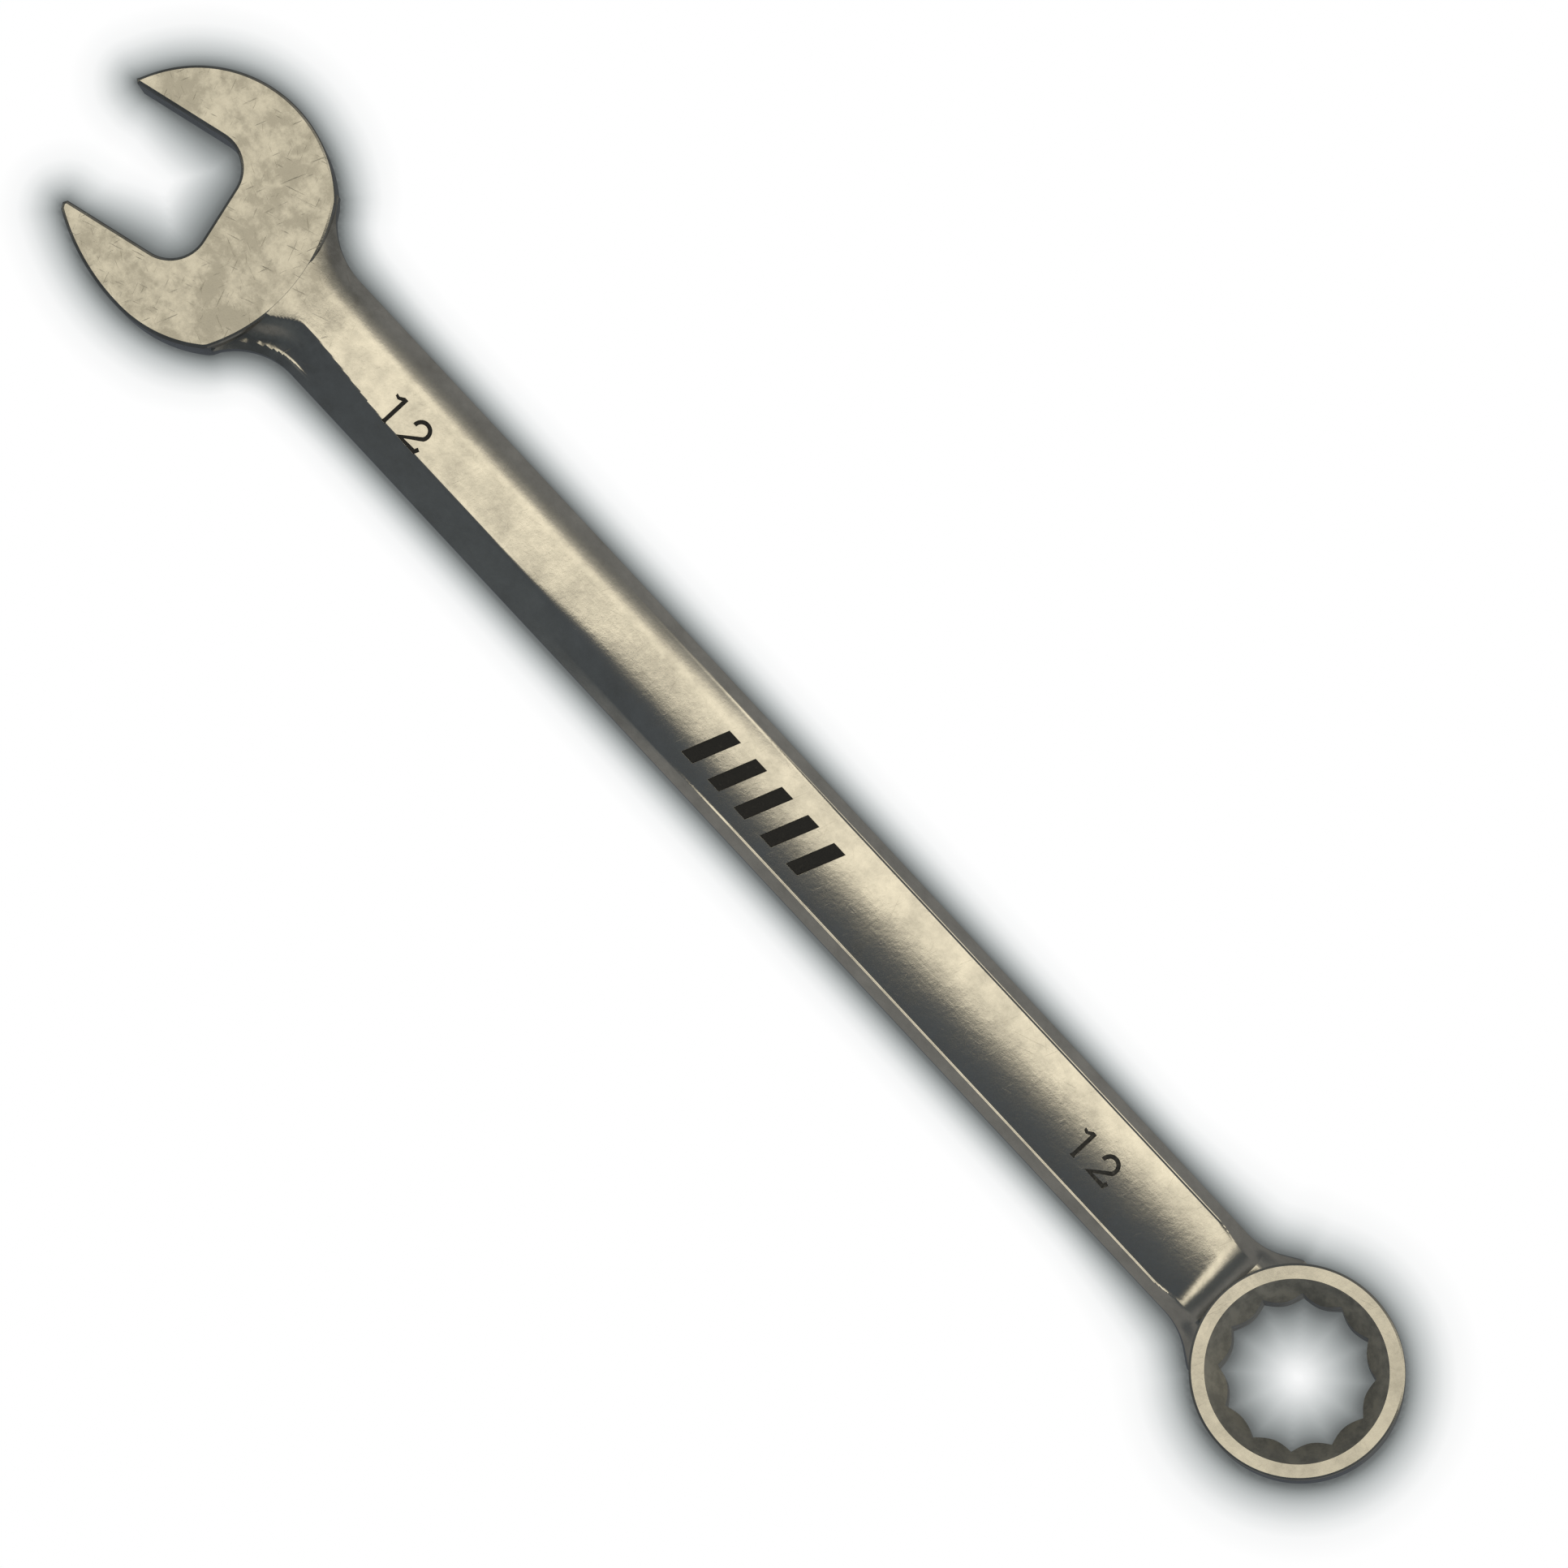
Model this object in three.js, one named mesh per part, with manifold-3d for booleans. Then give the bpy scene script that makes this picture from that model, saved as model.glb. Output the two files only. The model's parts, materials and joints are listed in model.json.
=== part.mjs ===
// A 12 mm combination wrench: open jaws at one end, a 12-point ring at the other.
// The tool is one drop-forged steel piece; its stamped marks are filled with black enamel.
// Millimetres. +X runs from the jaws to the ring, +Z is up, and the wrench lies flat on z = 0.
import * as THREE from "three";
import { mergeVertices } from "three/addons/utils/BufferGeometryUtils.js";
import Module from "manifold-3d";

const wasm = await Module();
wasm.setup();

// ---- driving dimensions ----
const ACROSS_FLATS = 12; // nominal size of both ends
const JAW_GAP = 12.1; // the jaws keep a little clearance on the nut
const END_ANGLE = THREE.MathUtils.degToRad(15); // turn of the jaws, and tilt of the ring
const CENTRE_DISTANCE = 141.4; // head centre to ring centre
const ARC_STEP = THREE.MathUtils.degToRad(6); // facet angle of round outlines
const DIGIT_STEP = THREE.MathUtils.degToRad(20); // and of the small curves in the digits

const head = {
  thickness: 5.3,
  throatDepth: 1.25, // throat floor behind the head centre
  throatCorner: 3.3,
  sideways: -0.45, // head centre off the shank's centreline
  edge: 0.25, // broken edge all round
  faceRadius: 16.7, // the ground faces stop at this arc, where the neck begins
  faceCentre: new THREE.Vector2(-6.2, -1.9), // its centre, from the head centre's foot
};

// Each jaw's outside is a round back, centred a little along the jaws, then a flatter cheek.
const lowerJaw = {
  backCentre: -1,
  backRadius: 12.1,
  cheekStart: THREE.MathUtils.degToRad(77),
  cheekRadius: 20,
  reach: 10.7, // head centre to the end of the jaw flat
};
const upperJaw = {
  backCentre: 0.9,
  backRadius: 12.15,
  cheekStart: THREE.MathUtils.degToRad(45),
  cheekRadius: 14,
  reach: 11.05,
};

const ring = {
  radius: 9.42,
  thickness: 8,
  sideways: -0.3, // ring centre off the shank's centreline
  topFaceInner: 8.05, // where the countersink meets the flat face
  topEdge: 0.2, // small chamfer on the outer rim, upper side
  bottomEdge: 1, // and the larger one underneath
  boreCorner: ACROSS_FLATS / Math.sqrt(3), // corners of the two crossed hexagons
  boreLobe: ACROSS_FLATS / 2 / Math.cos(Math.PI / 12), // where the hexagons cross
  points: 12,
  firstCorner: THREE.MathUtils.degToRad(12),
};

const shank = {
  halfThickness: 2.45,
  halfWidth: 5.05,
  sideHalfHeight: 0.8, // upright band along each side
  shoulderDrop: 0.75, // rise of the rounded shoulder above that band
  shoulderWidth: 0.45,
  narrowFlat: 2.35, // half-width of the flat near the jaws
  wideFlat: 3.9, // half-width of the panel near the ring
  flatMorph: [-36, -3], // where the flat widens
};

// Fillets that widen the shank into its ends: where each starts, and how far along it runs.
const jawUpperFlare = { start: -58.5, towards: -1, radius: 8, reach: 6.8 };
const jawLowerFlare = { start: -56.6, towards: -1, radius: 7, reach: 6.2 };
const ringFlare = { start: 57.8, towards: 1, radius: 5, reach: 3.45 };
const ringScoop = { start: 56.8, towards: 1, radius: 3, reach: 2.7 }; // up to the ring's top

const marks = {
  depth: 0.25,
  fillGap: 0.02,
  fillBelowSurface: 0.04,
  digitHeight: 2.9,
  stroke: 0.4,
  digitPitch: 2.9,
  baseline: -2.0,
  openEndX: -47.6,
  ringEndX: 41.6,
  barCount: 5,
  barHeight: 4.4,
  barWidth: 1.5,
  barPitch: 3.4,
  barSlant: 1.6,
  barsY: -0.4,
};

// ---- places that follow from them ----
const ringCentreX = CENTRE_DISTANCE / 2 - 1.6;
const headCentreX = ringCentreX - CENTRE_DISTANCE;
const midHeight = head.thickness / 2;
const shankTop = midHeight + shank.halfThickness;
const halfRing = ring.thickness / 2;
const ringCentreZ =
  (ring.radius - ring.bottomEdge) * Math.sin(END_ANGLE) + halfRing * Math.cos(END_ANGLE);
const shankStartX = headCentreX + 4;
const shankEndX = ringCentreX - 6;

// ---- solids from three.js geometry, joined and cut with manifold ----
function toSolid(geometry) {
  const bare = geometry.clone();
  bare.deleteAttribute("normal");
  bare.deleteAttribute("uv");
  const merged = mergeVertices(bare, 1e-5);
  const mesh = new wasm.Mesh({
    numProp: 3,
    vertProperties: new Float32Array(merged.attributes.position.array),
    triVerts: new Uint32Array(merged.index.array),
  });
  return new wasm.Manifold(mesh);
}

function toGeometry(solid) {
  const mesh = solid.getMesh();
  const geometry = new THREE.BufferGeometry();
  geometry.setAttribute("position", new THREE.BufferAttribute(mesh.vertProperties, 3));
  geometry.setIndex(new THREE.BufferAttribute(mesh.triVerts, 1));
  geometry.computeVertexNormals();
  return geometry;
}

function arcPoints(centreX, centreY, radius, from, to, step = ARC_STEP) {
  const steps = Math.max(2, Math.ceil(Math.abs(to - from) / step));
  const points = [];
  for (let i = 0; i <= steps; i += 1) {
    const angle = from + ((to - from) * i) / steps;
    points.push(
      new THREE.Vector2(centreX + radius * Math.cos(angle), centreY + radius * Math.sin(angle)),
    );
  }
  return points;
}

// ---- open end: drawn with its opening along +x and its lower jaw at +y, then turned ----
function jawHalfOutline(jaw) {
  const half = JAW_GAP / 2;
  const corner = head.throatCorner;
  const cheekShift = jaw.backRadius - jaw.cheekRadius;
  const cheekX = jaw.backCentre + cheekShift * Math.cos(jaw.cheekStart);
  const cheekY = cheekShift * Math.sin(jaw.cheekStart);
  const cheekEnd = Math.acos((jaw.reach + 0.1 - cheekX) / jaw.cheekRadius);
  return [
    ...arcPoints(jaw.backCentre, 0, jaw.backRadius, Math.PI, jaw.cheekStart),
    ...arcPoints(cheekX, cheekY, jaw.cheekRadius, jaw.cheekStart, cheekEnd).slice(1),
    new THREE.Vector2(jaw.reach + 0.3, half + 0.35),
    new THREE.Vector2(jaw.reach, half),
    ...arcPoints(corner - head.throatDepth, half - corner, corner, Math.PI / 2, Math.PI),
  ];
}

function headSolid() {
  const upperSide = jawHalfOutline(upperJaw).map((p) => new THREE.Vector2(p.x, -p.y));
  const outline = [...jawHalfOutline(lowerJaw), ...upperSide.reverse()];
  const geometry = new THREE.ExtrudeGeometry(new THREE.Shape(outline), {
    depth: head.thickness - 2 * head.edge,
    bevelEnabled: true,
    bevelSegments: 1,
    bevelThickness: head.edge,
    bevelSize: head.edge,
    bevelOffset: -head.edge,
  });
  geometry.translate(0, 0, head.edge);
  geometry.rotateZ(Math.PI + END_ANGLE);
  geometry.translate(headCentreX, head.sideways, 0);
  const faceEnd = new THREE.CylinderGeometry(head.faceRadius, head.faceRadius, 20, 120);
  faceEnd.rotateX(Math.PI / 2);
  faceEnd.translate(headCentreX + head.faceCentre.x, head.faceCentre.y, 0);
  return toSolid(geometry).intersect(toSolid(faceEnd));
}

// ---- shank: one section morphs along its length, and flares into both ends ----
function rise(x, { start, towards, radius, reach }) {
  const into = THREE.MathUtils.clamp((x - start) * towards, 0, reach);
  return radius - Math.sqrt(radius * radius - into * into);
}

function shankSection(x) {
  const flat = THREE.MathUtils.lerp(
    shank.narrowFlat,
    shank.wideFlat,
    THREE.MathUtils.smoothstep(x, ...shank.flatMorph),
  );
  const upper = rise(x, jawUpperFlare) + rise(x, ringFlare);
  const lower = rise(x, jawLowerFlare) + rise(x, ringFlare);
  const scoop = rise(x, ringScoop);
  const side = shank.sideHalfHeight;
  const quarter = [
    [shank.halfWidth, side],
    [shank.halfWidth - shank.shoulderWidth, side + shank.shoulderDrop],
    [flat, shank.halfThickness],
  ];
  const corner = (point, sideSign, topSign) => {
    const spread = sideSign > 0 ? upper : lower;
    const lift = topSign > 0 && point[0] === flat ? scoop : 0;
    const y = sideSign * (point[0] + spread);
    return new THREE.Vector3(x, y, midHeight + topSign * (point[1] + lift));
  };
  return [
    ...quarter.map((p) => corner(p, 1, 1)),
    ...quarter.toReversed().map((p) => corner(p, -1, 1)),
    ...quarter.map((p) => corner(p, -1, -1)),
    ...quarter.toReversed().map((p) => corner(p, 1, -1)),
  ];
}

function shankStations() {
  const stations = [];
  for (let x = shankStartX; x < jawLowerFlare.start; x += 0.8) stations.push(x);
  for (let x = jawLowerFlare.start; x < ringScoop.start; x += 6) stations.push(x);
  for (let x = ringScoop.start; x < shankEndX; x += 0.6) stations.push(x);
  return [...stations, shankEndX];
}

function shankSolid() {
  const sections = shankStations().map(shankSection);
  const around = sections[0].length;
  const last = (sections.length - 1) * around;
  const triangles = [];
  for (let s = 0; s < sections.length - 1; s += 1) {
    for (let i = 0; i < around; i += 1) {
      const a = s * around + i;
      const b = s * around + ((i + 1) % around);
      triangles.push(a, b, a + around, b, b + around, a + around);
    }
  }
  for (let i = 1; i < around - 1; i += 1) {
    triangles.push(0, i + 1, i, last, last + i, last + i + 1);
  }
  const geometry = new THREE.BufferGeometry().setFromPoints(sections.flat());
  geometry.setIndex(triangles);
  return toSolid(geometry);
}

// ---- ring end: turned about its own axis, then tilted so that its far side is raised ----
function tiltIntoPlace(geometry) {
  geometry.rotateY(-END_ANGLE);
  geometry.translate(ringCentreX, ring.sideways, ringCentreZ);
  return toSolid(geometry);
}

function turned(profile) {
  const geometry = new THREE.LatheGeometry(
    profile.map(([r, z]) => new THREE.Vector2(r, z)),
    60,
  );
  return tiltIntoPlace(geometry.rotateX(Math.PI / 2));
}

function ringBlank() {
  return turned([
    [0, -halfRing],
    [ring.radius - ring.bottomEdge, -halfRing],
    [ring.radius, -halfRing + ring.bottomEdge],
    [ring.radius, halfRing - ring.topEdge],
    [ring.radius - ring.topEdge, halfRing],
    [0, halfRing],
  ]);
}

function countersink(side) {
  const outside = 1; // the cutter runs this far past the face
  const depth = ring.topFaceInner - ring.boreLobe + 0.6;
  const profile = [
    [0, halfRing - depth],
    [ring.topFaceInner - depth, halfRing - depth],
    [ring.topFaceInner + outside, halfRing + outside],
    [0, halfRing + outside],
  ];
  return turned(side > 0 ? profile : profile.map(([r, z]) => [r, -z]).reverse());
}

function boreCutter() {
  const star = [];
  for (let i = 0; i < ring.points; i += 1) {
    const corner = ring.firstCorner + (i * 2 * Math.PI) / ring.points;
    const crossing = corner + Math.PI / ring.points;
    star.push(new THREE.Vector2(Math.cos(corner), Math.sin(corner)).multiplyScalar(ring.boreCorner));
    star.push(new THREE.Vector2(Math.cos(crossing), Math.sin(crossing)).multiplyScalar(ring.boreLobe));
  }
  const long = ring.thickness + 2;
  const geometry = new THREE.ExtrudeGeometry(new THREE.Shape(star), {
    depth: long,
    bevelEnabled: false,
  });
  return tiltIntoPlace(geometry.translate(0, 0, -long / 2));
}

// ---- stamped marks: plain outlines on the shank's upper flat ----
function offsetCorner(before, point, after, distance) {
  const coming = point.clone().sub(before).normalize();
  const going = after.clone().sub(point).normalize();
  const tangent = coming.clone().add(going).normalize();
  const across = new THREE.Vector2(-tangent.y, tangent.x);
  const mitre = distance / Math.max(0.35, tangent.dot(coming));
  return point.clone().addScaledVector(across, mitre);
}

function thickLine(points, width) {
  const beyond = (end, next) => end.clone().multiplyScalar(2).sub(next);
  const side = (distance) =>
    points.map((point, i) => {
      const before = points[i - 1] ?? beyond(point, points[i + 1]);
      const after = points[i + 1] ?? beyond(point, points[i - 1]);
      return offsetCorner(before, point, after, distance);
    });
  return [...side(-width / 2), ...side(width / 2).reverse()];
}

function digitOne() {
  const half = marks.stroke / 2;
  const foot = 0.75;
  const top = marks.digitHeight;
  return [
    [-foot, 0],
    [foot, 0],
    [foot, marks.stroke * 0.8],
    [half, marks.stroke * 0.8],
    [half, top],
    [-half, top],
    [-foot, top - 0.55],
    [-foot, top - 0.95],
    [-half, top - 0.6],
    [-half, marks.stroke * 0.8],
    [-foot, marks.stroke * 0.8],
  ].map(([x, y]) => new THREE.Vector2(x, y));
}

function digitTwo() {
  const bowl = 0.72;
  const bowlY = marks.digitHeight - marks.stroke / 2 - bowl;
  const baseY = marks.stroke / 2;
  const spine = [
    ...arcPoints(0, bowlY, bowl, Math.PI * 0.95, -Math.PI * 0.2, DIGIT_STEP),
    new THREE.Vector2(-0.8, baseY),
    new THREE.Vector2(0.9, baseY),
  ];
  return thickLine(spine, marks.stroke);
}

function slantedBar() {
  const { barWidth, barHeight, barSlant } = marks;
  return [
    [0, 0],
    [barWidth, 0],
    [barWidth + barSlant, barHeight],
    [barSlant, barHeight],
  ].map(([x, y]) => new THREE.Vector2(x, y));
}

function markSites() {
  const sites = [];
  for (const [end, x] of [["open_end", marks.openEndX], ["ring_end", marks.ringEndX]]) {
    sites.push({ name: `${end}_digit_1`, outline: digitOne(), x, y: marks.baseline });
    const next = x + marks.digitPitch;
    sites.push({ name: `${end}_digit_2`, outline: digitTwo(), x: next, y: marks.baseline });
  }
  const rowLength = (marks.barCount - 1) * marks.barPitch + marks.barWidth + marks.barSlant;
  for (let i = 0; i < marks.barCount; i += 1) {
    sites.push({
      name: `handle_mark_bar_${i + 1}`,
      outline: slantedBar(),
      x: i * marks.barPitch - rowLength / 2,
      y: marks.barsY - marks.barHeight / 2,
    });
  }
  return sites;
}

function anticlockwise(outline) {
  return THREE.ShapeUtils.isClockWise(outline) ? outline.toReversed() : outline;
}

function shrink(outline, by) {
  return outline.map((point, i) => {
    const before = outline.at(i - 1);
    const after = outline[(i + 1) % outline.length];
    return offsetCorner(before, point, after, by);
  });
}

function standing(outline, site, bottom, top) {
  const geometry = new THREE.ExtrudeGeometry(new THREE.Shape(outline), {
    depth: top - bottom,
    bevelEnabled: false,
  });
  return toSolid(geometry.translate(site.x, site.y, bottom));
}

function markRecess(site) {
  return standing(anticlockwise(site.outline), site, shankTop - marks.depth, shankTop + 1);
}

function markFill(site) {
  const outline = shrink(anticlockwise(site.outline), marks.fillGap);
  const bottom = shankTop - marks.depth + marks.fillGap;
  return toGeometry(standing(outline, site, bottom, shankTop - marks.fillBelowSurface));
}

// ---- the assembly ----
function forging(sites) {
  let solid = shankSolid().add(headSolid()).add(ringBlank());
  const cutters = [boreCutter(), countersink(1), countersink(-1), ...sites.map(markRecess)];
  for (const cutter of cutters) solid = solid.subtract(cutter);
  return toGeometry(solid);
}

const platedSteel = new THREE.MeshStandardMaterial({
  color: new THREE.Color().setRGB(0.76, 0.72, 0.61, THREE.SRGBColorSpace),
  roughness: 0.34,
  metalness: 1,
});
const blackEnamel = new THREE.MeshStandardMaterial({
  color: new THREE.Color().setRGB(0.14, 0.14, 0.13, THREE.SRGBColorSpace),
  roughness: 0.7,
  metalness: 0,
});

function named(name, geometry, material) {
  const mesh = new THREE.Mesh(geometry, material);
  mesh.name = name;
  return mesh;
}

const wrench = new THREE.Group();
const sites = markSites();
wrench.add(named("wrench_forging", forging(sites), platedSteel));
for (const site of sites) {
  wrench.add(named(site.name, markFill(site), blackEnamel.clone()));
}

// the origin is under the middle of the wrench's box
const box = new THREE.Box3().setFromObject(wrench);
const middle = box.getCenter(new THREE.Vector3());
wrench.position.set(-middle.x, -middle.y, -box.min.z);

export default wrench;
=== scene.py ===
"""The finished look of a 12 mm combination wrench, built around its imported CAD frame.

Shapes are worked out in millimetres along the handle: x runs from the open end to the ring end with 0
near the middle, y runs across the handle from its centreline, and z is up from the floor.
"""

import json
import math

import bpy
import numpy as np
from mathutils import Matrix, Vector
from mathutils.bvhtree import BVHTree


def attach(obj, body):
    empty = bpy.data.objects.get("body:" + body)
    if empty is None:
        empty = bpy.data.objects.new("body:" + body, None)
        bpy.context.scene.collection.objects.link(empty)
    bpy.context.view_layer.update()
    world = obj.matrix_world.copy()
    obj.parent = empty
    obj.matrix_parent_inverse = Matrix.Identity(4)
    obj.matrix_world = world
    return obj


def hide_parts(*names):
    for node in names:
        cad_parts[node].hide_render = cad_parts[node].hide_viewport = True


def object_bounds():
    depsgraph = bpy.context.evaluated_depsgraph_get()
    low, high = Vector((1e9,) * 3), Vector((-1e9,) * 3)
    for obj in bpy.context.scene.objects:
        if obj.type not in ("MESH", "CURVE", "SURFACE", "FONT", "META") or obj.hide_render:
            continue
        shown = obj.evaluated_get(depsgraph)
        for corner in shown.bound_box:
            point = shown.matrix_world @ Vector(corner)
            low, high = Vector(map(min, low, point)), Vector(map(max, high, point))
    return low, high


MM = 0.001

# ---- driving dimensions, in millimetres and radians ----
END_ANGLE = math.radians(15)
CENTRE_DISTANCE = 141.4
RING_X = 69.1
HEAD_X = RING_X - CENTRE_DISTANCE

HEAD_THICKNESS = 5.3
HEAD_SIDEWAYS = -0.45
HEAD_EDGE = 0.3
JAW_GAP = 12.1
THROAT_DEPTH = 1.25
THROAT_CORNER = 3.3
FACE_RADIUS = 16.7
FACE_CENTRE = np.array([-5.9, -1.9])
LOWER_JAW = {"back_x": -1.0, "back_radius": 12.1, "cheek_start": 77, "cheek_radius": 20, "reach": 10.7}
UPPER_JAW = {"back_x": 0.9, "back_radius": 12.15, "cheek_start": 45, "cheek_radius": 14, "reach": 11.05}

RING_RADIUS = 9.42
RING_HALF = 4.0
RING_SIDEWAYS = -0.3
RING_TOP_EDGE = 0.22
RING_BOTTOM_EDGE = 1.0
COUNTERSINK_RADIUS = 8.05
STAR_CORNER = 6.93
STAR_LOBE = 6.22
STAR_POINTS = 12
STAR_TURN = math.radians(12)

MID_HEIGHT = HEAD_THICKNESS / 2
HALF_THICKNESS = 2.45
HALF_WIDTH = 5.05
SIDE_BAND = 0.8
SHANK_START = HEAD_X + 4
SHANK_END = RING_X - 6
SIDE_BULGE = 0.03
SIDE_BULGE_HALF = 0.25
UPPER_JAW_FLARE = {"start": -58.5, "towards": -1, "radius": 8, "bend": 6.8, "run": 6.8}
LOWER_JAW_FLARE = {"start": -56.6, "towards": -1, "radius": 7, "bend": 6.2, "run": 6.2}
RING_FLARE = {"start": 57.5, "towards": 1, "radius": 7, "bend": 3.8, "run": 5.2}
RING_SCOOP = {"start": 56.8, "towards": 1, "radius": 3, "bend": 2.7, "run": 2.7}

# Along the handle the jaws' cross-section changes into the ring's between these two places.
PANEL_MORPH = (-29, 8)

# Near the jaws: a flat top, a rounded bevel on +y, and a straight one on -y that starts at a crease.
CREASE_Y = -2.05
CREASE_DRIFT = {"by": 0.7, "from": 46, "to": 58}
CREASE_SWEEP = {"by": 1.9, "from": 58.5, "to": 62}
CREASE_SOFTNESS = 0.05
CREASE_FADE = {"by": 0.55, "span": (-34, -12)}
CREASE_BLEND = {"by": 0.2, "from": 56, "to": 60}
UPPER_FLAT_EDGE = 2.0
UPPER_FLAT_SPREAD = 0.45
LIP = {"height": 0.03, "above_crease": 0.14, "width": 0.13, "fade": (-38, -26)}
NECK_RIB = {"height": 0.07, "from_side": 0.85, "width": 0.13, "from": 54, "to": 57}
NECK_HOLLOW = {"depth": 0.35, "width": 1.1}
NECK_LIFT = 0.19
NECK_SPAN = (55, 61)

# Near the ring: a crowned panel between two thin ridges, with narrow bevels outside them.
PANEL_END = 57.4
PANEL_END_SPAN = (PANEL_END - 3, PANEL_END + 0.8)
PANEL_HALF = 4.05
PANEL_NARROWING = 0.5
PANEL_CROWN = 0.45
BEVEL_POWER = 1.15
RIDGE_WIDTH = 0.12
UPPER_RIDGE = {"height": 0.07, "inside_edge": 0.06}
LOWER_RIDGE = {"height": 0.1, "span": (-12, 0)}

DIGIT_HEIGHT = 2.9
DIGIT_STROKE = 0.4
DIGIT_PITCH = 2.85
DIGIT_SITES = {"open_end": (-47.7, -2.0), "ring_end": (41.5, -1.75)}
BAR_COUNT = 5
BAR_SIZE = (1.5, 4.4)
BAR_PITCH = 3.4
BAR_SLANT = 1.6
BAR_Y = -0.4
MARK_DEPTH = 0.15
FILL_DROP = 0.05
FILL_GAP = 0.012
FILL_EDGE = 0.03

SMOOTH_BODY = 13
SMOOTH_FILL = 28

# ---- floor, light and camera; the shade's lamp and reach in metres ----
SHADE_DISTANCE = "shade_distance"
SHADE_LAMP = Vector((-0.005, -0.001, 0.35))
SHADE_REACH = 6 * MM
SHADE_STEP = 0.5 * MM
SHADE_MARGIN = 12 * MM
HEMMED_REACH = 9 * MM
LIGHT_SLANT = math.radians(65)
CAMERA_HEIGHT = 350 * MM
CAMERA_ASIDE = 12 * MM
CAMERA_TURN = math.radians(47.02)
CAMERA_LENS = 89.4
CAMERA_TARGET_Y = 2.51 * MM
CAMERA_TARGET_Z = 5 * MM

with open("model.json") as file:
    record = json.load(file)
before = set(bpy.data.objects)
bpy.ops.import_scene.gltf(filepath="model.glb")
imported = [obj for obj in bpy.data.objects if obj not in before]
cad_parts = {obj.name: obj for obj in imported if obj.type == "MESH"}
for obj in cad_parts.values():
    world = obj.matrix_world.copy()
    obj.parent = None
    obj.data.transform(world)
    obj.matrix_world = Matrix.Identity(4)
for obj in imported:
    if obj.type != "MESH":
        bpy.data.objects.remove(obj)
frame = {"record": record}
cad_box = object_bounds()


def mount_position(name):
    """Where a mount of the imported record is, in millimetres in the row frame."""
    mounts = {m["name"]: m for m in frame["record"]["mounts"]}
    return np.array(mounts[name]["pos_m"], float) / MM


RING_Z = (RING_RADIUS - RING_BOTTOM_EDGE) * math.sin(END_ANGLE) + RING_HALF * math.cos(END_ANGLE)
TO_ROW = mount_position("ring_socket") - np.array([RING_X, RING_SIDEWAYS, RING_Z])


# ---- small shape helpers ----
def smoothstep(x, start, end):
    t = min(max((x - start) / (end - start), 0), 1)
    return t * t * (3 - 2 * t)


def mix(a, b, share):
    return a + (b - a) * share


def arc(centre_x, centre_y, radius, start, end, step=2):
    """Points on an arc between two angles in degrees."""
    count = max(2, math.ceil(abs(end - start) / step))
    angles = np.radians(np.linspace(start, end, count + 1))
    return np.stack([centre_x + radius * np.cos(angles), centre_y + radius * np.sin(angles)], 1)


def turned(points, angle):
    """2-D points turned about the origin."""
    c, s = math.cos(angle), math.sin(angle)
    return points @ np.array([[c, s], [-s, c]])


def inset(outline, distance):
    """A closed anticlockwise outline moved inwards by a distance."""
    coming = outline - np.roll(outline, 1, 0)
    going = np.roll(outline, -1, 0) - outline
    coming /= np.linalg.norm(coming, axis=1, keepdims=True)
    going /= np.linalg.norm(going, axis=1, keepdims=True)
    tangent = coming + going
    tangent /= np.linalg.norm(tangent, axis=1, keepdims=True)
    inwards = np.stack([-tangent[:, 1], tangent[:, 0]], 1)
    mitre = distance / np.maximum(0.4, np.sum(tangent * coming, 1))
    return outline + inwards * mitre[:, None]


def anticlockwise(outline):
    x, y = outline[:, 0], outline[:, 1]
    area = np.sum(x * np.roll(y, -1) - y * np.roll(x, -1))
    return outline if area > 0 else outline[::-1]


def at_height(outline, z):
    return np.column_stack([outline, np.full(len(outline), z)])


def loft(name, sections):
    """A closed mesh through sections that all have the same number of points."""
    around = len(sections[0])
    corners = (np.concatenate(sections) + TO_ROW) * MM
    faces = []
    for s in range(len(sections) - 1):
        for i in range(around):
            j = (i + 1) % around
            low = s * around
            faces.append((low + i, low + j, low + around + j, low + around + i))
    faces.append(tuple(reversed(range(around))))
    last = (len(sections) - 1) * around
    faces.append(tuple(range(last, last + around)))
    mesh = bpy.data.meshes.new(name)
    mesh.from_pydata(corners.tolist(), [], faces)
    mesh.validate()
    piece = bpy.data.objects.new(name, mesh)
    bpy.context.scene.collection.objects.link(piece)
    return face_outwards(piece)


def face_outwards(piece):
    """Turns every face out if the closed mesh was built inside out."""
    mesh = piece.data
    mesh.calc_loop_triangles()
    volume = 0
    for t in mesh.loop_triangles:
        a, b, c = (mesh.vertices[v].co for v in t.vertices)
        volume += a.dot(b.cross(c))
    if volume < 0:
        mesh.flip_normals()
    return piece


def combine(piece, other, operation):
    """Joins or cuts a mesh with another one, which is used up."""
    modifier = piece.modifiers.new(operation.lower(), "BOOLEAN")
    modifier.operation = operation
    modifier.solver = "MANIFOLD"
    modifier.object = other
    apply_modifiers(piece)
    bpy.data.objects.remove(other)


def apply_modifiers(piece):
    bpy.context.view_layer.update()
    evaluated = piece.evaluated_get(bpy.context.evaluated_depsgraph_get())
    mesh = bpy.data.meshes.new_from_object(evaluated)
    piece.modifiers.clear()
    piece.data = mesh


def smooth(piece, angle):
    piece.data.shade_smooth()
    piece.data.set_sharp_from_angle(angle=math.radians(angle))


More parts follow.
